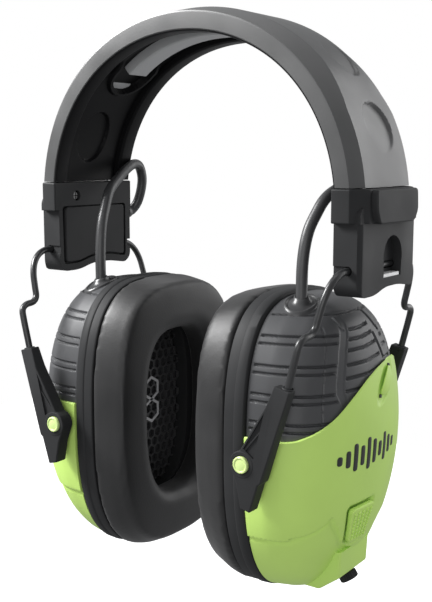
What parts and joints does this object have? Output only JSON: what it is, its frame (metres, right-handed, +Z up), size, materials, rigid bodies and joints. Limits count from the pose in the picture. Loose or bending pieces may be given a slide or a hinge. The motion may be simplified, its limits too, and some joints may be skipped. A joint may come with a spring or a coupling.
{
  "type": "earmuff hearing protector",
  "caption": "Over-ear hearing protector: padded headband arch, wire-hung ear cups with soft cushions, cable loops, button and knob.",
  "frame": {"origin": "where the crown of the wearer's head meets the middle of the band's underside, on the plane midway between the cups and on the band's own mid plane", "axes": "+Z up, +X towards the cup with the button and knob (the wearer's left), -Y towards the wearer's face"},
  "size_m": [0.1388, 0.0884, 0.1935],
  "materials": {
    "band": "satin",
    "charcoal": "satin",
    "shell": "matte, moulded tread pattern",
    "lime": "satin",
    "pin": "satin",
    "cushion": "soft leatherette",
    "foam": "open-cell foam",
    "wire": "satin",
    "steel": "brushed",
    "cable": "satin",
    "board": "matte",
    "battery": "matte"
  },
  "bodies": {
    "headband": {"headband_shell": "band", "headband_liner": "charcoal", "crown_rib": "band", "spring_strip": "steel", "band_lead": "cable", "left_end_piece": "charcoal", "left_end_cover": "charcoal", "left_end_screw": "steel", "left_cable_loop": "cable", "right_end_piece": "charcoal", "right_end_cover": "charcoal", "right_end_screw": "steel", "right_cable_loop": "cable"},
    "left_bail": {"left_bail_wire": "wire"},
    "left_yoke": {"left_front_arm": "charcoal", "left_rear_arm": "charcoal"},
    "left_cup": {"left_front_pin": "pin", "left_rear_pin": "pin", "left_cushion": "cushion", "left_cushion_plate": "charcoal", "left_rim": "charcoal", "left_shell": "shell", "left_grille": "foam", "left_foam_liner": "foam", "left_driver": "steel", "left_grommet": "cable", "left_mic_cover": "lime", "left_cover": "lime", "left_foot_block": "lime", "left_circuit_board": "board"},
    "right_bail": {"right_bail_wire": "wire"},
    "right_yoke": {"right_front_arm": "charcoal", "right_rear_arm": "charcoal"},
    "right_cup": {"right_front_pin": "pin", "right_rear_pin": "pin", "right_cushion": "cushion", "right_cushion_plate": "charcoal", "right_rim": "charcoal", "right_shell": "shell", "right_grille": "foam", "right_foam_liner": "foam", "right_driver": "steel", "right_grommet": "cable", "right_mic_cover": "lime", "right_cover": "lime", "right_battery": "battery"},
    "left_button": {"left_button": "lime"},
    "left_knob": {"left_knob": "charcoal"}
  },
  "joints": [
    {"name": "left_bail_swing", "type": "hinge", "parent": "headband", "child": "left_bail", "pos_m": [0.0622, 0, -0.0746], "axis": [0, -1, 0], "range_deg": [-1, 22], "deforming": ["left_cable_loop"]},
    {"name": "left_height_slide", "type": "slide", "parent": "left_bail", "child": "left_yoke", "axis": [0.2419, 0, 0.9703], "range_m": [-0.016, 0.008]},
    {"name": "left_cup_tilt", "type": "hinge", "parent": "left_yoke", "child": "left_cup", "pos_m": [0.03946, 0, -0.13314], "axis": [0, -1, 0], "range_deg": [-8, 8]},
    {"name": "right_bail_swing", "type": "hinge", "parent": "headband", "child": "right_bail", "pos_m": [-0.0622, 0, -0.0746], "axis": [0, 1, 0], "range_deg": [-1, 22], "deforming": ["right_cable_loop"]},
    {"name": "right_height_slide", "type": "slide", "parent": "right_bail", "child": "right_yoke", "axis": [-0.2419, 0, 0.9703], "range_m": [-0.016, 0.008]},
    {"name": "right_cup_tilt", "type": "hinge", "parent": "right_yoke", "child": "right_cup", "pos_m": [-0.03946, 0, -0.13314], "axis": [0, 1, 0], "range_deg": [-8, 8]},
    {"name": "left_button_press", "type": "slide", "parent": "left_cup", "child": "left_button", "axis": [-0.9527, 0.1179, 0.2802], "range_m": [0, 0.001], "stiffness_N_per_m": 900, "springref_m": -0.001},
    {"name": "left_knob_turn", "type": "hinge", "parent": "left_cup", "child": "left_knob", "pos_m": [0.0544, -0.001, -0.1786], "axis": [0.5664, 0, -0.8241], "range_deg": [0, 270]}
  ]
}
